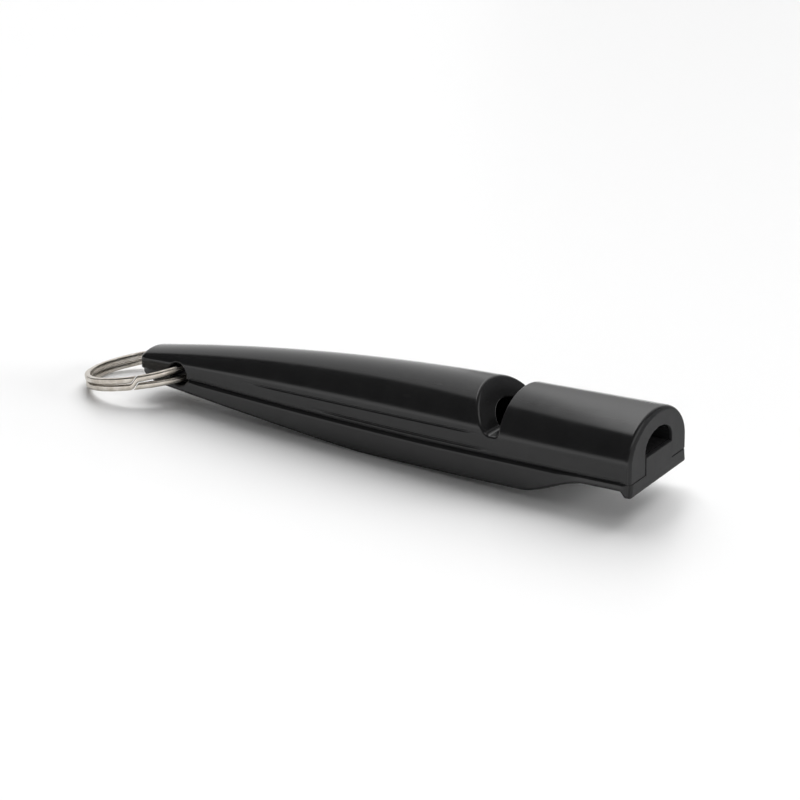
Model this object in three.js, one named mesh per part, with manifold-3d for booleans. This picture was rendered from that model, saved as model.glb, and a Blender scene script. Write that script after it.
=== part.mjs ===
// A moulded two-part dog whistle with a split ring through its tail.
// Millimetres, +X towards the mouth, +Z up. The origin is the middle of the flat that it rests on.
import * as THREE from "three";
import { mergeVertices } from "three/addons/utils/BufferGeometryUtils.js";
import Module from "manifold-3d";

// Body: stations run from the tail to the mouth, heights from the surface that the keel rests on
const BODY_LENGTH = 83;
const MOUTH_WIDTH = 17.6;
const TAIL_WIDTH = 5.8;
const WIDTH_TAPER = 1.39; // how soon the plan narrows towards the tail
const CREST_HEIGHT = 11.8;
const CREST_STATION = 55;
const TAIL_HEIGHT = 7.4;
const TAIL_SHOULDER = 0.6; // least rise of the rounded top over the sides
const MOUTH_HEIGHT = 11.4;
const SIDE_HEIGHT = 6.5; // upright sides end here and the rounded top begins
const MOUTH_SIDE_HEIGHT = 5.7;
const END_ROUND = 0.9;
const END_RAKE_DEG = 1.5; // the mouth's end face leans back
const TIP_STATION = 2.1; // the taper's curves start here, cut off to a blunt nose
const NOSE_LENGTH = 1.2;
const NOSE_HEIGHT = 5.7;
const TIP_WIDTH = 4.8;

// Seam between the two mouldings
const SEAM_HEIGHT = 3.75;
const TAIL_SEAM_HEIGHT = 5.25;
const SEAM_RISE_STATION = 55;
const SEAM_RISE_POWER = 1.5;
const SEAM_CHAMFER = 0.5;

// Keel and bite plate of the lower moulding
const LOWER_INSET = 0.2;
const KEEL_FLARE = 0.28; // the lower moulding is wider at its foot than at the seam
const KEEL_EDGE = 0.4;
const TAIL_KEEL_HEIGHT = 3.66;
const KEEL_RISE_STATION = 42;
const KEEL_RISE_POWER = 1.08;
const BITE_LENGTH = 16; // from the mouth back to where the keel starts to sweep up
const RELIEF_LENGTH = 9.5;
const PLATE_THICKNESS = 1.15;
const LIP_LENGTH = 1.8;
const LIP_DROP = 0.75;

// Window, bore and windway
const MOUTHPIECE_LENGTH = 19.25;
const SILL_LENGTH = 1.75;
const WINDOW_LEAN_DEG = 32;
const BORE_WIDTH = 8.2;
const BORE_ROOF = 9.5;
const BORE_ARCH = 2.2;
const SIDE_WALL = 1.6;
const ROOF_WALL = 1.7;
const CORE_WALL = 3.2; // solid plastic between the ring hole and the hollow
const WINDWAY_MOUTH_FLOOR = 6.3;
const WINDWAY_SLOT = 1; // height of the slot that aims at the window's edge
const FIT = 0.2; // clearance of the block and the stop in the bore

// Tuning stop that closes the sounding chamber
const CHAMBER_LENGTH = 14;
const STOP_THICKNESS = 3;

// Split ring and its hole
const HOLE_DIAMETER = 3.3;
const HOLE_STATION = 9.3;
const HOLE_HEIGHT = 5.35;
const RING_OUTER_DIAMETER = 18.6;
const WIRE_RADIAL = 0.9;
const WIRE_AXIAL = 0.8;
const COIL_GAP = 0.45;
const JOG_DEG = 20; // turn over which the wire steps from one layer to the other
const JOG_PLACE_DEG = -64; // from the hole, round the ring
const END_GAP_DEG = 4;
const RING_TILT_DEG = 9.5; // the ring leans down from the hole
const RING_ROLL_DEG = 0.8; // its far side stands higher

// Facets
const NOSE_STEPS = 5;
const BODY_STEPS = 20;
const ARCH_STEPS = 14;
const RELIEF_STEPS = 6;
const BORE_ARCH_STEPS = 8;
const HOLE_SIDES = 36;
const RING_STEPS_PER_TURN = 48;
const WIRE_SIDES = 8;

// Places worked out from the sizes above
const MOUTHPIECE_START = BODY_LENGTH - MOUTHPIECE_LENGTH;
const SILL_START = MOUTHPIECE_START - SILL_LENGTH;
const RELIEF_START = BODY_LENGTH - BITE_LENGTH;
const RELIEF_END = RELIEF_START + RELIEF_LENGTH;
const PLATE_HEIGHT = SEAM_HEIGHT - PLATE_THICKNESS;
const LIP_START = BODY_LENGTH - LIP_LENGTH;
const CORE_START = HOLE_STATION + HOLE_DIAMETER / 2 + CORE_WALL;
const STOP_FRONT = SILL_START - CHAMBER_LENGTH;
const REST_CENTRE = (KEEL_RISE_STATION + RELIEF_START) / 2;
const BEYOND = 2; // how far a cutter runs past the faces that it opens

const wasm = await Module();
wasm.setup();

// Curves of the body along its length
const tailShare = (s, end) => Math.max(0, 1 - s / end);

function halfWidth(s) {
  const narrowing = ((MOUTH_WIDTH - TAIL_WIDTH) / 2) * tailShare(s, BODY_LENGTH) ** WIDTH_TAPER;
  return MOUTH_WIDTH / 2 - narrowing;
}

function topHeight(s) {
  if (s < CREST_STATION) {
    return CREST_HEIGHT - (CREST_HEIGHT - TAIL_HEIGHT) * tailShare(s, CREST_STATION) ** 2;
  }
  return THREE.MathUtils.mapLinear(s, CREST_STATION, BODY_LENGTH, CREST_HEIGHT, MOUTH_HEIGHT);
}

function sideHeight(s) {
  const wanted = s < MOUTHPIECE_START ? SIDE_HEIGHT : MOUTH_SIDE_HEIGHT;
  return Math.min(wanted, topHeight(s) - TAIL_SHOULDER);
}

function seamHeight(s) {
  const rise = (TAIL_SEAM_HEIGHT - SEAM_HEIGHT) * tailShare(s, SEAM_RISE_STATION) ** SEAM_RISE_POWER;
  return SEAM_HEIGHT + rise;
}

// The keel rises to the tail, lies flat, then sweeps up to the bite plate, which ends in a lip
function keelHeight(s) {
  if (s <= RELIEF_START) {
    return TAIL_KEEL_HEIGHT * tailShare(s, KEEL_RISE_STATION) ** KEEL_RISE_POWER;
  }
  const sweep = THREE.MathUtils.smoothstep(s, RELIEF_START, RELIEF_END);
  const lip = THREE.MathUtils.smoothstep(s, LIP_START, LIP_START + LIP_LENGTH / 2);
  return PLATE_HEIGHT * sweep - LIP_DROP * lip;
}

// Stations shared by both mouldings, so that their seam faces lie on each other
function makeStations() {
  const list = [];
  for (let i = 0; i < NOSE_STEPS; i++) {
    list.push(TIP_STATION + NOSE_LENGTH * (1 - Math.cos((i / NOSE_STEPS) * (Math.PI / 2))));
  }
  for (let i = 0; i <= BODY_STEPS; i++) {
    list.push(THREE.MathUtils.lerp(TIP_STATION + NOSE_LENGTH, KEEL_RISE_STATION, i / BODY_STEPS));
  }
  list.push(CREST_STATION, SILL_START, MOUTHPIECE_START);
  for (let i = 0; i <= RELIEF_STEPS; i++) {
    list.push(THREE.MathUtils.lerp(RELIEF_START, RELIEF_END, i / RELIEF_STEPS));
  }
  list.push(LIP_START, LIP_START + LIP_LENGTH / 4, LIP_START + LIP_LENGTH / 2);
  list.push(BODY_LENGTH - END_ROUND, BODY_LENGTH - END_ROUND * (1 - Math.SQRT1_2), BODY_LENGTH);
  return list.sort((a, b) => a - b).filter((s, i, all) => i === 0 || s > all[i - 1]);
}
const STATIONS = makeStations();

// Height of the faceted seam between two stations
function seamFacet(s) {
  const i = Math.max(1, STATIONS.findIndex((station) => station >= s));
  const [a, b] = [STATIONS[i - 1], STATIONS[i]];
  return THREE.MathUtils.mapLinear(s, a, b, seamHeight(a), seamHeight(b));
}

// How far the rounded mouth edge draws the outline in at a station
function endInset(s) {
  const past = THREE.MathUtils.clamp(s - (BODY_LENGTH - END_ROUND), 0, END_ROUND);
  return END_ROUND - Math.sqrt(END_ROUND ** 2 - past ** 2);
}

// A point of the body: the nose draws in to a rounded tip and the mouth end leans back
function place(s, y, z) {
  const before = tailShare(s - TIP_STATION, NOSE_LENGTH);
  const tip = TIP_WIDTH / TAIL_WIDTH;
  const draw = Math.sqrt(1 - (1 - tip ** 2) * before ** 2);
  const along = Math.max(0, (s - MOUTHPIECE_START) / MOUTHPIECE_LENGTH);
  const lean = Math.tan(THREE.MathUtils.degToRad(END_RAKE_DEG)) * along;
  return new THREE.Vector3(
    s - lean * (z - SEAM_HEIGHT),
    y * draw,
    NOSE_HEIGHT + (z - NOSE_HEIGHT) * draw,
  );
}

// Closed solid through rings of points, each ring anticlockwise seen from the mouth
function loft(rings) {
  const count = rings[0].length;
  const middles = [rings[0], rings.at(-1)].map((ring) =>
    ring.reduce((sum, p) => sum.add(p), new THREE.Vector3()).divideScalar(count),
  );
  const points = [...rings.flat(), ...middles];
  const faces = [];
  const last = (rings.length - 1) * count;
  for (let i = 0; i < count; i++) {
    const next = (i + 1) % count;
    for (let base = 0; base < last; base += count) {
      faces.push(base + i, base + next, base + count + next);
      faces.push(base + i, base + count + next, base + count + i);
    }
    faces.push(points.length - 2, next, i);
    faces.push(points.length - 1, last + i, last + next);
  }
  const geometry = new THREE.BufferGeometry().setFromPoints(points);
  geometry.setIndex(faces);
  return geometry;
}

// Solids for joining and cutting, and back
function solidOf(geometry) {
  const bare = new THREE.BufferGeometry();
  bare.setAttribute("position", geometry.getAttribute("position"));
  bare.setIndex(geometry.index);
  const merged = mergeVertices(bare, 1e-4);
  return new wasm.Manifold(
    new wasm.Mesh({
      numProp: 3,
      vertProperties: new Float32Array(merged.getAttribute("position").array),
      triVerts: new Uint32Array(merged.index.array),
    }),
  );
}

function geometryOf(solid) {
  const mesh = solid.getMesh();
  const geometry = new THREE.BufferGeometry();
  geometry.setAttribute("position", new THREE.BufferAttribute(mesh.vertProperties, 3));
  geometry.setIndex(new THREE.BufferAttribute(mesh.triVerts, 1));
  geometry.computeVertexNormals();
  return geometry;
}

// Points of a half-round arch from the far side over to the near side
function archPoints(halfSpan, foot, top, steps) {
  return Array.from({ length: steps + 1 }, (_, i) => {
    const angle = (i / steps) * Math.PI;
    return [halfSpan * Math.cos(angle), foot + (top - foot) * Math.sin(angle)];
  });
}

const ringAt = (s, outline) => outline.map(([y, z]) => place(s, y, z));

// Cross-hole for the ring, through both mouldings
function ringHole() {
  const radius = HOLE_DIAMETER / 2;
  const hole = new THREE.CylinderGeometry(radius, radius, MOUTH_WIDTH + BEYOND, HOLE_SIDES);
  return solidOf(hole.translate(HOLE_STATION, 0, HOLE_HEIGHT));
}

// D-shaped bore: half its width and its roof stay inside the walls as the body narrows
function boreOutline(s, floor, clearance) {
  const half = Math.min(BORE_WIDTH / 2, halfWidth(s) - SIDE_WALL) - clearance;
  const roof = Math.min(BORE_ROOF, topHeight(s) - ROOF_WALL) - clearance;
  const foot = Math.max(roof - BORE_ARCH, floor + (roof - floor) / 2);
  return [[-half, floor], [half, floor], ...archPoints(half, foot, roof, BORE_ARCH_STEPS)];
}

function upperShell() {
  const rings = STATIONS.map((s) => {
    const inset = endInset(s);
    const half = halfWidth(s) - inset;
    const seam = seamHeight(s);
    const bottom = half - SEAM_CHAMFER;
    const arch = archPoints(half, sideHeight(s), topHeight(s) - inset, ARCH_STEPS);
    return ringAt(s, [
      [-bottom, seam],
      [bottom, seam],
      [half, seam + SEAM_CHAMFER],
      ...arch,
      [-half, seam + SEAM_CHAMFER],
    ]);
  });
  const boreStations = [CORE_START, ...STATIONS.filter((s) => s > CORE_START), BODY_LENGTH + BEYOND];
  const bore = boreStations.map((s) => ringAt(s, boreOutline(s, seamHeight(s) - BEYOND, 0)));
  return solidOf(loft(rings)).subtract(solidOf(loft(bore))).subtract(windowCut()).subtract(ringHole());
}

// Saddle-shaped window: upright towards the mouth, slanted towards the barrel, with a flat sill
function windowCut() {
  const clear = CREST_HEIGHT + BEYOND;
  const slant = Math.tan(THREE.MathUtils.degToRad(WINDOW_LEAN_DEG)) * (clear - SIDE_HEIGHT);
  const shape = new THREE.Shape([
    new THREE.Vector2(SILL_START, SIDE_HEIGHT),
    new THREE.Vector2(MOUTHPIECE_START, SIDE_HEIGHT),
    new THREE.Vector2(MOUTHPIECE_START, clear),
    new THREE.Vector2(SILL_START - slant, clear),
  ]);
  const depth = MOUTH_WIDTH + BEYOND;
  const cut = new THREE.ExtrudeGeometry(shape, { depth, bevelEnabled: false });
  return solidOf(cut.rotateX(Math.PI / 2).translate(0, depth / 2, 0));
}

// Keel, bite plate and lip, with the block that fills the bore under the windway
function lowerBody() {
  const rings = STATIONS.map((s) => {
    const inset = endInset(s);
    const foot = halfWidth(s) - LOWER_INSET - inset / 2;
    const neck = foot - KEEL_FLARE;
    const seam = seamHeight(s);
    const keel = keelHeight(s) + inset / 2;
    const edge = Math.min(KEEL_EDGE, (seam - keel) / 2);
    const corner = edge * (1 - Math.SQRT1_2);
    return ringAt(s, [
      [edge - foot, keel],
      [foot - edge, keel],
      [foot - corner, keel + corner],
      [foot, keel + edge],
      [neck, seam],
      [-neck, seam],
      [-foot, keel + edge],
      [corner - foot, keel + corner],
    ]);
  });
  const blockHalf = BORE_WIDTH / 2 - FIT;
  const blockRoot = SEAM_HEIGHT - PLATE_THICKNESS / 2;
  const block = [MOUTHPIECE_START, BODY_LENGTH].map((s) => {
    const slotFloor = BORE_ROOF - WINDWAY_SLOT;
    const floor = s === BODY_LENGTH ? WINDWAY_MOUTH_FLOOR : slotFloor;
    const foot = Math.min(BORE_ROOF - BORE_ARCH, floor);
    const shoulder = blockHalf * Math.sqrt(1 - ((floor - foot) / BORE_ARCH) ** 2) - FIT;
    return ringAt(s, [
      [-blockHalf, blockRoot],
      [blockHalf, blockRoot],
      [blockHalf, foot],
      [shoulder, floor],
      [-shoulder, floor],
      [-blockHalf, foot],
    ]);
  });
  return solidOf(loft(rings)).add(solidOf(loft(block))).subtract(ringHole());
}

// Plug that closes the sounding chamber, standing on the lower moulding
function tuningStop() {
  const rings = [STOP_FRONT - STOP_THICKNESS, STOP_FRONT].map((s) =>
    ringAt(s, boreOutline(s, seamFacet(s), FIT)),
  );
  return solidOf(loft(rings));
}

// Split ring: two turns of wire with a step between the layers, leaning out of the hole
function splitRing() {
  const meanRadius = (RING_OUTER_DIAMETER - WIRE_RADIAL) / 2;
  const holeHalf = halfWidth(HOLE_STATION);
  const bow = meanRadius - Math.sqrt(meanRadius ** 2 - holeHalf ** 2);
  const pitch = WIRE_AXIAL + COIL_GAP;
  const tilt = THREE.MathUtils.degToRad(RING_TILT_DEG);
  const roll = THREE.MathUtils.degToRad(RING_ROLL_DEG);
  const toHole = new THREE.Vector3(Math.cos(tilt), 0, Math.sin(tilt));
  const across = new THREE.Vector3(0, 1, 0).applyAxisAngle(toHole, roll);
  const axis = toHole.clone().cross(across);
  const centre = new THREE.Vector3(HOLE_STATION, 0, HOLE_HEIGHT);
  centre.addScaledVector(toHole, bow / 2 - meanRadius);

  const jog = THREE.MathUtils.degToRad(JOG_DEG);
  const start = THREE.MathUtils.degToRad(JOG_DEG / 2 + END_GAP_DEG);
  const end = 4 * Math.PI - start;
  const steps = Math.round((RING_STEPS_PER_TURN * (end - start)) / (2 * Math.PI));
  const jogPlace = THREE.MathUtils.degToRad(JOG_PLACE_DEG);
  const path = [];
  const rings = [];
  for (let i = 0; i <= steps; i++) {
    const turn = THREE.MathUtils.lerp(start, end, i / steps);
    const layer = THREE.MathUtils.smoothstep(turn, 2 * Math.PI - jog / 2, 2 * Math.PI + jog / 2);
    const angle = jogPlace + turn;
    const radial = toHole.clone().multiplyScalar(Math.cos(angle)).addScaledVector(across, Math.sin(angle));
    const middle = centre.clone().addScaledVector(radial, meanRadius);
    middle.addScaledVector(axis, (layer - 0.5) * pitch);
    path.push(middle);
    rings.push(
      Array.from({ length: WIRE_SIDES }, (_, k) => {
        const around = (-(k + 0.5) / WIRE_SIDES) * 2 * Math.PI;
        const reachOut = (WIRE_RADIAL / 2 / Math.cos(Math.PI / WIRE_SIDES)) * Math.cos(around);
        const rise = (WIRE_AXIAL / 2 / Math.cos(Math.PI / WIRE_SIDES)) * Math.sin(around);
        return middle.clone().addScaledVector(radial, reachOut).addScaledVector(axis, rise);
      }),
    );
  }
  printLeastGap(path, meanRadius);
  return solidOf(loft(rings));
}

// Least gap between stretches of the wire that are more than a quarter turn apart along it
function printLeastGap(path, meanRadius) {
  const apart = (Math.PI / 2) * meanRadius;
  const step = path[0].distanceTo(path[1]);
  let least = Infinity;
  for (let i = 0; i < path.length; i++) {
    for (let j = i + Math.ceil(apart / step); j < path.length; j++) {
      least = Math.min(least, path[i].distanceTo(path[j]));
    }
  }
  console.log(`split ring: least gap to itself ${(least - WIRE_AXIAL).toFixed(2)} mm`);
}

// Finishes
const blackPlastic = { color: 0x17171a, roughness: 0.3, metalness: 0 };
const nickel = { color: 0xb9b2a6, roughness: 0.28, metalness: 1 };

const whistle = new THREE.Group();
whistle.position.x = -REST_CENTRE;
function addPiece(name, solid, finish) {
  const mesh = new THREE.Mesh(geometryOf(solid), new THREE.MeshStandardMaterial(finish));
  mesh.name = name;
  whistle.add(mesh);
}
addPiece("upper_shell", upperShell(), blackPlastic);
addPiece("lower_body", lowerBody(), blackPlastic);
addPiece("tuning_stop", tuningStop(), blackPlastic);
addPiece("split_ring", splitRing(), nickel);

const part = new THREE.Group();
part.add(whistle);
export default part;
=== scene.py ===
import math

import bpy
import numpy as np
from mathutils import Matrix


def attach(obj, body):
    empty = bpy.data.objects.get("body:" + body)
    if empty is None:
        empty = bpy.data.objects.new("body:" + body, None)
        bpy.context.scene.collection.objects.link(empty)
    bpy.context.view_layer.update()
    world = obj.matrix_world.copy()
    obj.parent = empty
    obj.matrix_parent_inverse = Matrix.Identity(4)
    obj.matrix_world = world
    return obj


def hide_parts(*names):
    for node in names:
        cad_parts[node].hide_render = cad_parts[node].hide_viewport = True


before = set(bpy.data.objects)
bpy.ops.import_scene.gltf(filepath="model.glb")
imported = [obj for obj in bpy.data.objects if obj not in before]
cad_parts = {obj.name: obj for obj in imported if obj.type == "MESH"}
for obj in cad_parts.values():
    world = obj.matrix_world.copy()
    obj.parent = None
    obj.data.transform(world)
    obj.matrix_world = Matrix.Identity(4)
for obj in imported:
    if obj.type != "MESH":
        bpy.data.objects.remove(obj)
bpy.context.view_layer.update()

# Body sizes in millimetres: stations run towards the mouth, heights from the keel's flat
BODY_LENGTH = 83.0
MOUTH_WIDTH = 17.6
TAIL_WIDTH = 5.8
WIDTH_TAPER = 1.39
CREST_HEIGHT = 11.8
CREST_STATION = 55.0
TAIL_HEIGHT = 7.4
TAIL_SHOULDER = 0.6
MOUTH_HEIGHT = 11.4
SIDE_HEIGHT = 6.5
MOUTH_SIDE_HEIGHT = 5.7
END_ROUND = 0.9
END_RAKE_DEG = 1.5
TIP_STATION = 2.1
NOSE_LENGTH = 0.9
LOWER_TIP_STATION = 2.2
NOSE_SIZE = 0.5
KEEL_NOSE_RISE = 1.0
KEEL_NOSE_END = 6.0

# Seam between the mouldings with its rounded lips, and fine lines along the sides
SEAM_HEIGHT = 3.75
TAIL_SEAM_HEIGHT = 5.25
SEAM_RISE_STATION = 55.0
SEAM_RISE_POWER = 1.5
SEAM_ROUND = 0.55
END_SEAM_ROUND = 0.08
END_SEAM_LENGTH = 1.6
TAIL_SEAM_START = 4.0
TAIL_SEAM_END = 14.0
LOWER_SHOULDER = 0.75
LINE_DEPTH = 0.13
LINE_WIDTH = 0.13
LINE_FADE_IN = 8.0
LINE_FADE_OUT = 5.0
SIDE_LINE_START = 20.0
LOW_LINE_START = 32.0
LOW_LINE_RISE = 0.8

# Keel, bite plate and lip
LOWER_INSET = 0.2
KEEL_FLARE = 0.28
KEEL_EDGE = 0.4
TAIL_KEEL_HEIGHT = 3.66
KEEL_RISE_STATION = 42.0
KEEL_RISE_POWER = 1.08
RELIEF_START = 67.0
RELIEF_LENGTH = 9.5
PLATE_THICKNESS = 1.15
LIP_LENGTH = 1.8
LIP_DROP = 0.75

# Window, bore and windway
MOUTHPIECE_START = 63.75
SILL_START = 62.0
WINDOW_LEAN_DEG = 32.0
WINDOW_CORNER = 0.45
SILL_CORNER = 0.45
TAIL_RIM = 0.4
MOUTH_RIM = 0.3
BORE_START = 45.0
BORE_WIDTH = 8.2
BORE_ROOF = 9.0
BORE_ARCH = 2.2
BORE_RIM = 0.08
STOP_ROOF = 9.5
STOP_END = 48.5
CHAMBER_START = 54.0
CHAMBER_WIDTH = 7.2
SIDE_WALL = 1.6
ROOF_WALL = 1.7
WINDWAY_MOUTH_FLOOR = 6.05
WINDWAY_SLOT = 1.0
FIT = 0.06

# Split ring and its hole
HOLE_DIAMETER = 3.3
HOLE_STATION = 9.3
HOLE_HEIGHT = 5.35
HOLE_RIM = 0.3
RING_OUTER_DIAMETER = 18.54
RING_TILT_DEG = 9.5
RING_ROLL_DEG = 0.8
WIRE_RADIAL = 0.9
WIRE_AXIAL = 0.92
WIRE_CORNER = 0.55
WIRE_SIDES = 20
TURN_STEPS = 300
COIL_PITCH = 1.0
HOLE_SPREAD = 0.7
HOLE_SPREAD_DEG = 42.0
JOG_DEG = 9.0
JOG_PLACE_DEG = -64.0
END_GAP_DEG = 0.6
END_SLANT = 0.92
END_SLANT_DEG = 9.0

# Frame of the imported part: metres, with the origin at the middle of the keel's flat
MM = 0.001
REST_CENTRE = (KEEL_RISE_STATION + RELIEF_START) / 2

# Grid lines of the meshes as (start, end, step), closer where edges and fine lines run
ALONG = (
    (-0.3, 3.4, 0.12), (3.4, 6.6, 0.25), (6.6, 12.0, 0.12), (12.0, 57.6, 0.46),
    (57.6, 65.0, 0.11), (65.0, 80.6, 0.28), (80.6, 83.3, 0.1),
)
ACROSS = ((-9.1, 9.1, 0.21),)
UPPER_HEIGHTS = ((3.4, 4.4, 0.14), (4.4, 5.1, 0.06), (5.1, 6.2, 0.14), (6.2, 6.8, 0.05), (6.8, 12.1, 0.18))
LOWER_HEIGHTS = ((-0.36, 8.9, 0.14),)
SLOPE_STEP = 0.01
GRADIENT_STEP = 0.004
SETTLE_ROUNDS = 5
LEAST_SLOPE = 0.05
LONGEST_MOVE = 0.1
NEAR_ZERO = 1e-4

# Plastic: scales in cells per metre, heights in metres
PLASTIC_DARK = (0.0145, 0.0145, 0.015)
PLASTIC_PALE = (0.021, 0.021, 0.0215)
PLASTIC_ROUGHNESS = (0.115, 0.165)
PLASTIC_SPECULAR = 0.4
CLOUD_SCALE = 350
GRAIN_SCALE = 6000
GRAIN_HEIGHT = 1.6e-6
WAVE_SCALE = 110
WAVE_HEIGHT = 2.2e-5
SCUFF_SCALE = 2600
SCUFF_STRETCH = (26, 1, 1)
SCUFF_SPAN = (0.66, 0.74)
SCUFF_ROUGHNESS = 0.09
SCUFF_DEPTH = 1.2e-6
WEAR_SPAN = (0.53, 0.62)
WEAR_TONE = 0.8
WEAR_ROUGHNESS = 0.06
END_FACE_SPAN = (-0.7, -0.3)
END_FACE_ROUGHNESS = 0.5
MIDDLE_SPAN = (0.3, 0.7)

# Plated wire: scales in cells per millimetre of wire
NICKEL_DULL = (0.52, 0.47, 0.405)
NICKEL_BRIGHT = (0.76, 0.72, 0.66)
NICKEL_ROUGHNESS = (0.2, 0.34)
NICKEL_TONE_SPAN = (0.3, 0.75)
DRAWN_SCALE = 14
DRAWN_STRETCH = (40, 1, 1)
DRAWN_TONE = 0.3
DRAWN_HEIGHT = 4e-6
TARNISH_SCALE = 0.9
TARNISH_TONE = 0.7
RUBBED_TONE = 0.3

# Floor, which leans because the whistle lies tipped back towards its tail
FLOOR_SIZE = 4
FLOOR_LEAN_DEG = 1.7
FLOOR_COLOUR = (0.93, 0.93, 0.93, 1)
FLOOR_ROUGHNESS = 0.35

# Surroundings: spans are of a direction's share to the right, to the back or to the sky
STRIP_LEAN = -0.09
STRIP_LEFT_SPAN = (-0.488, -0.464)
STRIP_RIGHT_SPAN = (-0.34, -0.2)
STRIP_RISE = 3.4
STRIP_DIP = -0.5
PANEL_GLOW = 0.9
PANEL_TURN = 0.65
PANEL_FRONT_SPAN = (-0.3, -0.16)
PANEL_TOP_SPAN = (0.92, 0.97)
PANEL_TOP_SHARE = 0.05
PANEL_RIGHT_SPAN = (-0.3, 0.1)
PANEL_RIGHT_SHARE = 0.03
HORIZON_GLOW = 1.4
HORIZON_BACK_SPAN = (-0.3, 0.0)
HORIZON_TOP_SPAN = (0.11, 0.3)
OVERHEAD_GLOW = 1.2
OVERHEAD_LEFT_SPAN = (0.2, 0.34)
OVERHEAD_FOOT_SPAN = (0.72, 0.84)
ROOM_GLOW = 0.03

# Soft suns as name, azimuth from the back, elevation and width in degrees, and strength
SUNS = (("key", -18, 45, 56, 2.61), ("low_side", 70, 9, 24, 2.4))

# Camera: its place in millimetres and stations, its angles and its lens
CAMERA_PLACE = (178.08, -223.35, 89.82)
CAMERA_AZIMUTH_DEG = 30.9
CAMERA_ELEVATION_DEG = 17.8
CAMERA_LENS = 90
CAMERA_CLIP = 0.01


# Curves of the body along its length
def tail_share(s, end):
    return np.clip(1 - s / end, 0, None)


def smooth(s, start, end):
    t = np.clip((s - start) / (end - start), 0, 1)
    return t * t * (3 - 2 * t)


def half_width(s):
    return MOUTH_WIDTH / 2 - (MOUTH_WIDTH - TAIL_WIDTH) / 2 * tail_share(s, BODY_LENGTH) ** WIDTH_TAPER


def top_height(s):
    rise = (CREST_HEIGHT - TAIL_HEIGHT) * tail_share(s, CREST_STATION) ** 2
    past_crest = np.clip((s - CREST_STATION) / (BODY_LENGTH - CREST_STATION), 0, None)
    return CREST_HEIGHT - rise - (CREST_HEIGHT - MOUTH_HEIGHT) * past_crest


def seam_height(s):
    rise = TAIL_SEAM_HEIGHT - SEAM_HEIGHT
    return SEAM_HEIGHT + rise * tail_share(s, SEAM_RISE_STATION) ** SEAM_RISE_POWER


def side_height(s):
    wanted = SIDE_HEIGHT + (MOUTH_SIDE_HEIGHT - SIDE_HEIGHT) * smooth(s, SILL_START, MOUTHPIECE_START)
    return np.minimum(wanted, top_height(s) - TAIL_SHOULDER)


def keel_height(s):
    tail = TAIL_KEEL_HEIGHT * tail_share(s, KEEL_RISE_STATION) ** KEEL_RISE_POWER
    tail = tail + KEEL_NOSE_RISE * tail_share(s - TIP_STATION, KEEL_NOSE_END - TIP_STATION) ** 2
    sweep = (SEAM_HEIGHT - PLATE_THICKNESS) * smooth(s, RELIEF_START, RELIEF_START + RELIEF_LENGTH)
    lip_start = BODY_LENGTH - LIP_LENGTH
    return tail + sweep - LIP_DROP * smooth(s, lip_start, lip_start + LIP_LENGTH / 2)


def unleaned(s, z):
    """Stations that follow the rake of the mouth's end face."""
    along = np.clip((s - MOUTHPIECE_START) / (BODY_LENGTH - MOUTHPIECE_START), 0, None)
    return s + math.tan(math.radians(END_RAKE_DEG)) * along * (z - SEAM_HEIGHT)


# Distance-like fields in millimetres, negative inside
def meet(a, b, radius):
    """Where both fields are solid, with the edge between them rounded."""
    outside = np.hypot(np.maximum(a + radius, 0), np.maximum(b + radius, 0))
    return np.minimum(np.maximum(a, b), -radius) + outside


def arch(y, z, half, foot, top):
    """Upright sides up to the foot and half an ellipse over them."""
    across = np.maximum(np.abs(y), NEAR_ZERO)
    above = np.maximum(z - foot, 0)
    rise = top - foot
    q = np.hypot(across / half, above / rise)
    slope = np.hypot(across / half**2, above / rise**2)
    return (q - 1) * q / slope


def nosed(d, s, tip):
    """Draws the field in to a rounded tip at the tail."""
    around = np.maximum(1 + d / NOSE_SIZE, 0)
    before = tail_share(s - tip, NOSE_LENGTH)
    return NOSE_SIZE * (np.hypot(around, before) - 1)


def fine_line(s, z, height, start, end):
    """A shallow line round the side, fading in and out along the body."""
    share = smooth(s, start, start + LINE_FADE_IN) * (1 - smooth(s, end - LINE_FADE_OUT, end))
    return LINE_DEPTH * share * np.exp(-(((z - height) / LINE_WIDTH) ** 2))


def seam_edge(s, radius):
    """Rounding along the seam, which gets crisp at the tail and across the mouth's end face."""
    mouth = smooth(s, BODY_LENGTH - END_SEAM_LENGTH, BODY_LENGTH - END_SEAM_LENGTH / 4)
    share = np.maximum(mouth, 1 - smooth(s, TAIL_SEAM_START, TAIL_SEAM_END))
    return radius + (END_SEAM_ROUND - radius) * share


def ring_hole(s, z):
    return np.hypot(s - HOLE_STATION, z - HOLE_HEIGHT) - HOLE_DIAMETER / 2


def bore(s, y, z):
    """The bore: full width round the stop and in the mouthpiece, narrower along the chamber."""
    past_stop = smooth(s, STOP_END, CHAMBER_START)
    narrowed = past_stop * (1 - smooth(s, SILL_START, MOUTHPIECE_START))
    width = BORE_WIDTH + (CHAMBER_WIDTH - BORE_WIDTH) * narrowed
    half = np.minimum(width / 2, half_width(s) - SIDE_WALL)
    roof = np.minimum(STOP_ROOF + (BORE_ROOF - STOP_ROOF) * past_stop, top_height(s) - ROOF_WALL)
    return np.maximum(arch(y, z, half, roof - BORE_ARCH, roof), BORE_START - s)


def window(s, z):
    """The saddle-shaped opening: a slanted face, a sill and the mouthpiece's upright edge."""
    lean = math.radians(WINDOW_LEAN_DEG)
    slant = (SILL_START - math.tan(lean) * (z - SIDE_HEIGHT) - s) * math.cos(lean)
    return meet(meet(slant, SIDE_HEIGHT - z, WINDOW_CORNER), s - MOUTHPIECE_START, SILL_CORNER)


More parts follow.
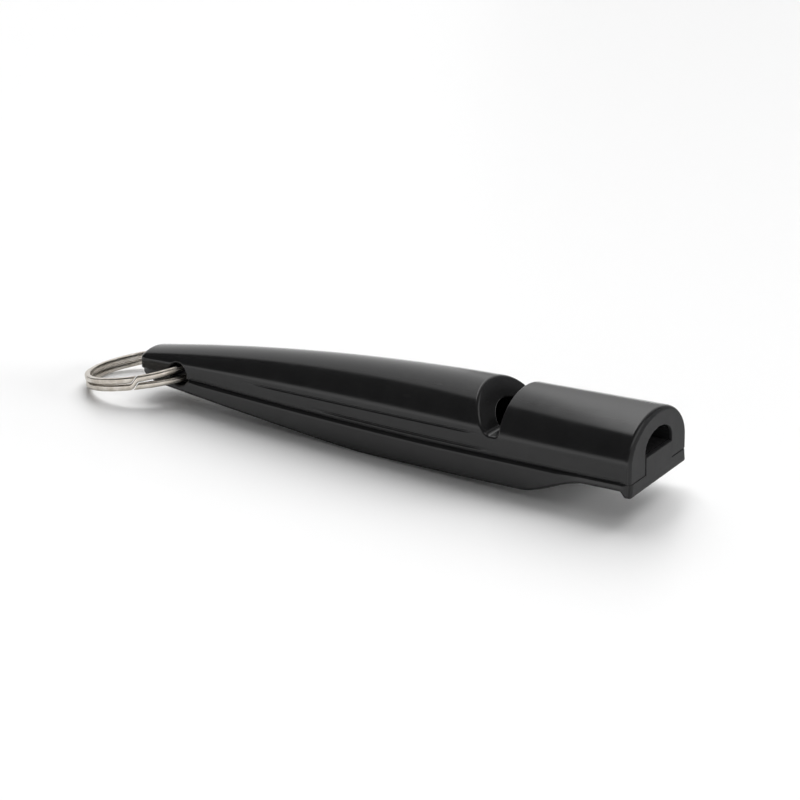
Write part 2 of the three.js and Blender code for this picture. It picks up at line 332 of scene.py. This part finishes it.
def upper_shell(s, y, z):
    st = unleaned(s, z)
    seam = seam_height(st)
    d = nosed(arch(y, z, half_width(st), side_height(st), top_height(st)), st, TIP_STATION)
    d = d + fine_line(st, z, SIDE_HEIGHT, SIDE_LINE_START, SILL_START)
    d = d + fine_line(st, z, seam + LOW_LINE_RISE, LOW_LINE_START, MOUTHPIECE_START)
    d = meet(d, st - BODY_LENGTH, END_ROUND)
    d = meet(d, seam - z, seam_edge(st, SEAM_ROUND))
    d = meet(d, -bore(st, y, z), BORE_RIM)
    rim = TAIL_RIM + (MOUTH_RIM - TAIL_RIM) * smooth(s, SILL_START, MOUTHPIECE_START)
    d = meet(d, -window(s, z), rim)
    return meet(d, -ring_hole(s, z), HOLE_RIM)


def windway_block(s, y, z):
    """The block under the windway, its top climbing from the mouth to the slot at the window."""
    climb = (BODY_LENGTH - s) / (BODY_LENGTH - MOUTHPIECE_START)
    top = WINDWAY_MOUTH_FLOOR + (BORE_ROOF - WINDWAY_SLOT - WINDWAY_MOUTH_FLOOR) * climb
    block = arch(y, z, BORE_WIDTH / 2 - FIT, BORE_ROOF - BORE_ARCH, BORE_ROOF - FIT)
    ends = np.maximum(MOUTHPIECE_START - s, s - BODY_LENGTH)
    foot = SEAM_HEIGHT - PLATE_THICKNESS / 2 - z
    return meet(meet(block, z - top, BORE_RIM), np.maximum(ends, foot), BORE_RIM)


def lower_body(s, y, z):
    st = unleaned(s, z)
    seam = seam_height(st)
    keel = keel_height(st)
    depth = seam - keel
    half = half_width(st) - LOWER_INSET - KEEL_FLARE * np.clip((z - keel) / depth, 0, 1)
    slope = (keel_height(st + SLOPE_STEP) - keel_height(st - SLOPE_STEP)) / (2 * SLOPE_STEP)
    d = meet(np.abs(y) - half, (keel - z) / np.sqrt(1 + slope**2), np.minimum(KEEL_EDGE, depth / 2))
    d = nosed(d, st, LOWER_TIP_STATION)
    d = meet(d, st - BODY_LENGTH, END_ROUND / 2)
    d = meet(d, z - seam, seam_edge(st, np.minimum(LOWER_SHOULDER, depth / 3)))
    d = np.minimum(d, windway_block(st, y, z))
    return meet(d, -ring_hole(s, z), HOLE_RIM)


# Smooth meshes of those fields
def spaced(spans):
    """Grid lines through spans of (start, end, step)."""
    parts = [np.linspace(a, b, max(1, round((b - a) / step)), endpoint=False) for a, b, step in spans]
    return np.concatenate(parts + [[spans[-1][1]]])


def gradient(field, points):
    columns = []
    for axis in range(3):
        shift = np.zeros(3)
        shift[axis] = GRADIENT_STEP
        ahead = field(*(points + shift).T)
        behind = field(*(points - shift).T)
        columns.append((ahead - behind) / (2 * GRADIENT_STEP))
    return np.stack(columns, axis=1)


def skin(field, spans):
    """Quads over the zero surface: a point in each crossed cell, moved onto the surface, and its normals."""
    lines = [spaced(span) for span in spans]
    values = field(*np.meshgrid(*lines, indexing="ij", sparse=True))
    solid = values < 0
    cells = np.array(values.shape) - 1
    total = np.zeros((cells.prod(), 3))
    count = np.zeros(cells.prod())
    quads = []
    for axis in range(3):
        u, v = (axis + 1) % 3, (axis + 2) % 3
        low = np.moveaxis(solid, axis, 0)[:-1]
        high = np.moveaxis(solid, axis, 0)[1:]
        crossed = np.argwhere(np.moveaxis(low != high, 0, axis))
        keep = np.all([(crossed[:, k] > 0) & (crossed[:, k] < cells[k]) for k in (u, v)], axis=0)
        crossed = crossed[keep]
        ahead = crossed.copy()
        ahead[:, axis] += 1
        a = values[tuple(crossed.T)]
        b = values[tuple(ahead.T)]
        points = np.stack([lines[k][crossed[:, k]] for k in range(3)], axis=1)
        points[:, axis] += (lines[axis][ahead[:, axis]] - points[:, axis]) * a / (a - b)
        corners = []
        for du, dv in ((0, 0), (1, 0), (1, 1), (0, 1)):
            cell = crossed.copy()
            cell[:, u] -= 1 - du
            cell[:, v] -= 1 - dv
            index = np.ravel_multi_index(tuple(cell.T), tuple(cells))
            np.add.at(total, index, points)
            np.add.at(count, index, 1)
            corners.append(index)
        faces = np.stack(corners, axis=1)
        faces[a >= 0] = faces[a >= 0][:, ::-1]
        quads.append(faces)
    used = np.flatnonzero(count)
    renumber = np.zeros(len(count), int)
    renumber[used] = np.arange(len(used))
    points = total[used] / count[used][:, None]
    for _ in range(SETTLE_ROUNDS):
        slope = gradient(field, points)
        size = np.maximum((slope**2).sum(axis=1), LEAST_SLOPE)
        move = slope * (field(*points.T) / size)[:, None]
        points = points - np.clip(move, -LONGEST_MOVE, LONGEST_MOVE)
    return points, renumber[np.concatenate(quads)].tolist(), gradient(field, points)


def add_object(name, data):
    obj = bpy.data.objects.new(name, data)
    bpy.context.scene.collection.objects.link(obj)
    return obj


def add_mesh(name, points, faces, normals=None):
    """A smooth mesh object from points in millimetres and stations."""
    mesh = bpy.data.meshes.new(name)
    placed = (np.asarray(points) - (REST_CENTRE, 0, 0)) * MM
    mesh.from_pydata(placed, [], faces)
    mesh.shade_smooth()
    if normals is not None:
        unit = normals / np.maximum(np.linalg.norm(normals, axis=1), NEAR_ZERO)[:, None]
        mesh.normals_split_custom_set_from_vertices(unit)
    return add_object(name, mesh)


# Split ring: one wire, two turns, that steps between the layers and parts where it holds the tail
def rounded_square(wave, size):
    return np.sign(wave) * np.abs(wave) ** WIRE_CORNER * size / 2


def ring_mesh():
    """Points, faces, and each point's place along, out from and up the wire."""
    mean = (RING_OUTER_DIAMETER - WIRE_RADIAL) / 2
    hole_half = half_width(HOLE_STATION)
    bow = mean - math.sqrt(mean**2 - hole_half**2)
    tilt = math.radians(RING_TILT_DEG)
    roll = math.radians(RING_ROLL_DEG)
    to_hole = np.array([math.cos(tilt), 0, math.sin(tilt)])
    lift = np.array([-math.sin(tilt), 0, math.cos(tilt)])
    across = np.array([0, math.cos(roll), 0]) + lift * math.sin(roll)
    axis = np.cross(to_hole, across)
    centre = np.array([HOLE_STATION, 0, HOLE_HEIGHT]) + to_hole * (bow / 2 - mean)
    start = math.radians(END_GAP_DEG)
    turn = np.linspace(start, 4 * math.pi - start, 2 * TURN_STEPS)
    jog = math.radians(JOG_DEG)
    layer = smooth(turn, 2 * math.pi - jog / 2, 2 * math.pi + jog / 2) - 0.5
    angle = turn + math.radians(JOG_PLACE_DEG)
    from_hole = np.degrees(np.arctan2(np.sin(angle), np.cos(angle)))
    pitch = COIL_PITCH + HOLE_SPREAD * np.exp(-((from_hole / HOLE_SPREAD_DEG) ** 2))
    phase = np.linspace(0, 2 * math.pi, WIRE_SIDES, endpoint=False)
    out = rounded_square(np.cos(phase), WIRE_RADIAL)
    rise = rounded_square(np.sin(phase), WIRE_AXIAL)
    from_end = np.minimum(turn - turn[0], turn[-1] - turn) / math.radians(END_SLANT_DEG)
    angle = angle[:, None] + np.outer(np.exp(-(from_end**2)) * END_SLANT / mean, rise)
    radial = np.cos(angle)[..., None] * to_hole + np.sin(angle)[..., None] * across
    height = (layer * pitch)[:, None] + rise
    points = centre + radial * (mean + out)[:, None] + height[..., None] * axis
    points = points.reshape(-1, 3)
    faces = []
    for k in range(len(turn) - 1):
        for i in range(WIRE_SIDES):
            j = (i + 1) % WIRE_SIDES
            a, b = k * WIRE_SIDES, (k + 1) * WIRE_SIDES
            faces.append((a + i, b + i, b + j, a + j))
    last = (len(turn) - 1) * WIRE_SIDES
    faces.append(tuple(range(WIRE_SIDES)))
    faces.append(tuple(last + i for i in reversed(range(WIRE_SIDES))))
    lengths = np.repeat(turn * mean, WIRE_SIDES)
    wire = np.stack([lengths, np.tile(out, len(turn)), np.tile(rise, len(turn))], axis=1)
    return points, faces, wire


# Nodes shared by the materials and the surroundings
def ramp(tree, value, span, ends=(0, 1)):
    """A smooth step from one end value to the other over a span of the input."""
    node = tree.nodes.new("ShaderNodeMapRange")
    node.interpolation_type = "SMOOTHSTEP"
    tree.links.new(value, node.inputs["Value"])
    for name, number in zip(("From Min", "From Max", "To Min", "To Max"), (*span, *ends)):
        node.inputs[name].default_value = number
    return node.outputs["Result"]


def combine(tree, operation, first, *others):
    """Runs one operation through sockets and numbers in turn."""
    for other in others:
        node = tree.nodes.new("ShaderNodeMath")
        node.operation = operation
        for socket, value in zip(node.inputs, (first, other)):
            if isinstance(value, (int, float)):
                socket.default_value = value
            else:
                tree.links.new(value, socket)
        first = node.outputs["Value"]
    return first


def noise(tree, place, scale, detail, stretch=(1, 1, 1)):
    """Noise over a place, its scale in cells per unit and drawn out by the stretch."""
    mapping = tree.nodes.new("ShaderNodeMapping")
    mapping.inputs["Scale"].default_value = [scale / s for s in stretch]
    tree.links.new(place, mapping.inputs["Vector"])
    node = tree.nodes.new("ShaderNodeTexNoise")
    node.inputs["Scale"].default_value = 1
    node.inputs["Detail"].default_value = detail
    tree.links.new(mapping.outputs["Vector"], node.inputs["Vector"])
    return node.outputs["Fac"]


def split_axes(tree, vector):
    node = tree.nodes.new("ShaderNodeSeparateXYZ")
    tree.links.new(vector, node.inputs["Vector"])
    return node.outputs


# Materials
def blend_colours(tree, share, first, second):
    node = tree.nodes.new("ShaderNodeMix")
    node.data_type = "RGBA"
    tree.links.new(share, node.inputs["Factor"])
    node.inputs["A"].default_value = (*first, 1)
    node.inputs["B"].default_value = (*second, 1)
    return node.outputs["Result"]


def bumped(tree, shader, height):
    """Bump from a height in metres."""
    node = tree.nodes.new("ShaderNodeBump")
    node.inputs["Strength"].default_value = 1
    node.inputs["Distance"].default_value = 1
    tree.links.new(height, node.inputs["Height"])
    tree.links.new(node.outputs["Normal"], shader.inputs["Normal"])


def worn_edges(tree):
    """Share of wear, from none on flat stretches to full on tight convex edges."""
    return ramp(tree, tree.nodes.new("ShaderNodeNewGeometry").outputs["Pointiness"], WEAR_SPAN)


def new_material(name):
    material = bpy.data.materials.new(name)
    material.use_nodes = True
    return material, material.node_tree, material.node_tree.nodes["Principled BSDF"]


def black_plastic():
    """Gloss moulding: faint waviness and grain, fine scuffs along the body, a matter end face, worn edges."""
    material, tree, shader = new_material("black_plastic")
    place = tree.nodes.new("ShaderNodeTexCoord").outputs["Object"]
    cloud = noise(tree, place, CLOUD_SCALE, 3)
    grain = noise(tree, place, GRAIN_SCALE, 2)
    wave = noise(tree, place, WAVE_SCALE, 1)
    scuff = ramp(tree, noise(tree, place, SCUFF_SCALE, 2, SCUFF_STRETCH), SCUFF_SPAN)
    wear = worn_edges(tree)
    end_span = [(BODY_LENGTH - REST_CENTRE + depth) * MM for depth in END_FACE_SPAN]
    end_face = ramp(tree, split_axes(tree, place)["X"], end_span)
    tone = combine(tree, "ADD", cloud, combine(tree, "MULTIPLY", wear, WEAR_TONE))
    colour = blend_colours(tree, tone, PLASTIC_DARK, PLASTIC_PALE)
    tree.links.new(colour, shader.inputs["Base Color"])
    rough = ramp(tree, cloud, MIDDLE_SPAN, PLASTIC_ROUGHNESS)
    for share, more in ((scuff, SCUFF_ROUGHNESS), (wear, WEAR_ROUGHNESS), (end_face, END_FACE_ROUGHNESS)):
        rough = combine(tree, "ADD", rough, combine(tree, "MULTIPLY", share, more))
    tree.links.new(rough, shader.inputs["Roughness"])
    height = combine(tree, "MULTIPLY", wave, WAVE_HEIGHT)
    height = combine(tree, "ADD", height, combine(tree, "MULTIPLY", grain, GRAIN_HEIGHT))
    height = combine(tree, "SUBTRACT", height, combine(tree, "MULTIPLY", scuff, SCUFF_DEPTH))
    bumped(tree, shader, height)
    shader.inputs["Specular IOR Level"].default_value = PLASTIC_SPECULAR
    return material


def nickel():
    """Plated spring wire: drawing lines along it, tarnish in patches, edges rubbed bright."""
    material, tree, shader = new_material("nickel_wire")
    attribute = tree.nodes.new("ShaderNodeAttribute")
    attribute.attribute_name = "wire"
    place = attribute.outputs["Vector"]
    drawn = noise(tree, place, DRAWN_SCALE, 2, DRAWN_STRETCH)
    tarnish = noise(tree, place, TARNISH_SCALE, 3)
    shares = ((tarnish, TARNISH_TONE), (drawn, DRAWN_TONE), (worn_edges(tree), RUBBED_TONE))
    tone = combine(tree, "ADD", *(combine(tree, "MULTIPLY", share, weight) for share, weight in shares))
    tone = ramp(tree, tone, NICKEL_TONE_SPAN)
    tree.links.new(blend_colours(tree, tone, NICKEL_DULL, NICKEL_BRIGHT), shader.inputs["Base Color"])
    tree.links.new(ramp(tree, drawn, MIDDLE_SPAN, NICKEL_ROUGHNESS), shader.inputs["Roughness"])
    bumped(tree, shader, combine(tree, "MULTIPLY", drawn, DRAWN_HEIGHT))
    shader.inputs["Metallic"].default_value = 1
    return material


def floor_material():
    material, _, shader = new_material("floor")
    shader.inputs["Base Color"].default_value = FLOOR_COLOUR
    shader.inputs["Roughness"].default_value = FLOOR_ROUGHNESS
    return material


# Stage
def add_floor():
    """A leaning plane that touches the keel from below."""
    lean = math.radians(FLOOR_LEAN_DEG)
    stations = np.linspace(0, BODY_LENGTH, 500)
    touch = (keel_height(stations) + math.tan(lean) * stations).min()
    bpy.ops.mesh.primitive_plane_add(size=FLOOR_SIZE)
    floor = bpy.context.object
    floor.name = "floor"
    floor.data.materials.append(floor_material())
    floor.rotation_euler.y = lean
    floor.location.z = (touch - math.tan(lean) * REST_CENTRE) * MM


def add_surroundings():
    """A panel behind with a strip that brightens upwards, a light overhead, and a dark room in front
    over a pale horizon."""
    world = bpy.data.worlds.new("studio")
    bpy.context.scene.world = world
    world.use_nodes = True
    tree = world.node_tree
    direction = tree.nodes.new("ShaderNodeTexCoord").outputs["Generated"]
    to_right, to_back, to_sky = split_axes(tree, direction)
    leaning = combine(tree, "ADD", to_right, combine(tree, "MULTIPLY", to_sky, STRIP_LEAN))
    strip_left = ramp(tree, leaning, STRIP_LEFT_SPAN)
    strip_right = ramp(tree, to_right, STRIP_RIGHT_SPAN, (1, 0))
    rising = combine(tree, "ADD", combine(tree, "MULTIPLY", to_sky, to_sky, STRIP_RISE), STRIP_DIP)
    strip = combine(tree, "MULTIPLY", strip_left, strip_right, rising)
    turned = combine(tree, "ADD", to_back, combine(tree, "MULTIPLY", to_right, PANEL_TURN))
    panel_front = ramp(tree, turned, PANEL_FRONT_SPAN)
    panel_top = ramp(tree, to_sky, PANEL_TOP_SPAN, (1, PANEL_TOP_SHARE))
    panel_right = ramp(tree, to_right, PANEL_RIGHT_SPAN, (1, PANEL_RIGHT_SHARE))
    panel_glow = combine(tree, "ADD", strip, PANEL_GLOW)
    panel = combine(tree, "MULTIPLY", panel_glow, panel_front, panel_top, panel_right)
    horizon_back = ramp(tree, to_back, HORIZON_BACK_SPAN, (HORIZON_GLOW, 0))
    horizon_top = ramp(tree, to_sky, HORIZON_TOP_SPAN, (1, 0))
    horizon = combine(tree, "MULTIPLY", horizon_back, horizon_top)
    overhead_left = ramp(tree, to_right, OVERHEAD_LEFT_SPAN, (0, OVERHEAD_GLOW))
    overhead = combine(tree, "MULTIPLY", overhead_left, ramp(tree, to_sky, OVERHEAD_FOOT_SPAN))
    background = tree.nodes["Background"]
    background.inputs["Color"].default_value = (1, 1, 1, 1)
    glow = combine(tree, "ADD", panel, horizon, overhead, ROOM_GLOW)
    tree.links.new(glow, background.inputs["Strength"])


def add_sun(name, azimuth, elevation, width, strength):
    """A wide even light from afar that lights the scene without a shape of its own in the gloss."""
    lamp = bpy.data.lights.new(name, "SUN")
    lamp.energy = strength
    lamp.angle = math.radians(width)
    sun = add_object(name, lamp)
    sun.rotation_euler = (math.radians(elevation - 90), 0, math.radians(-azimuth))
    sun.visible_glossy = False


def add_camera():
    data = bpy.data.cameras.new("camera")
    data.lens = CAMERA_LENS
    data.clip_start = CAMERA_CLIP
    camera = add_object("camera", data)
    station, across, height = CAMERA_PLACE
    camera.location = ((station - REST_CENTRE) * MM, across * MM, height * MM)
    camera.rotation_euler = (math.radians(90 - CAMERA_ELEVATION_DEG), 0, math.radians(CAMERA_AZIMUTH_DEG))
    bpy.context.scene.camera = camera


# Pieces
upper = add_mesh("upper_moulding", *skin(upper_shell, (ALONG, ACROSS, UPPER_HEIGHTS)))
lower = add_mesh("lower_moulding", *skin(lower_body, (ALONG, ACROSS, LOWER_HEIGHTS)))
ring_points, ring_faces, along_wire = ring_mesh()
ring = add_mesh("ring_wire", ring_points, ring_faces)
ring.data.attributes.new("wire", "FLOAT_VECTOR", "POINT").data.foreach_set("vector", along_wire.ravel())

plastic = black_plastic()
for piece, node in ((upper, "upper_shell"), (lower, "lower_body")):
    piece.data.materials.append(plastic)
    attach(piece, "whistle")
    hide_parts(node)
ring.data.materials.append(nickel())
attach(ring, "ring")
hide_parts("split_ring")
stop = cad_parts["tuning_stop"]
stop.data.materials.clear()
stop.data.materials.append(plastic)

add_floor()
add_surroundings()
for sun in SUNS:
    add_sun(*sun)
add_camera()
bpy.context.scene.view_settings.view_transform = "Standard"
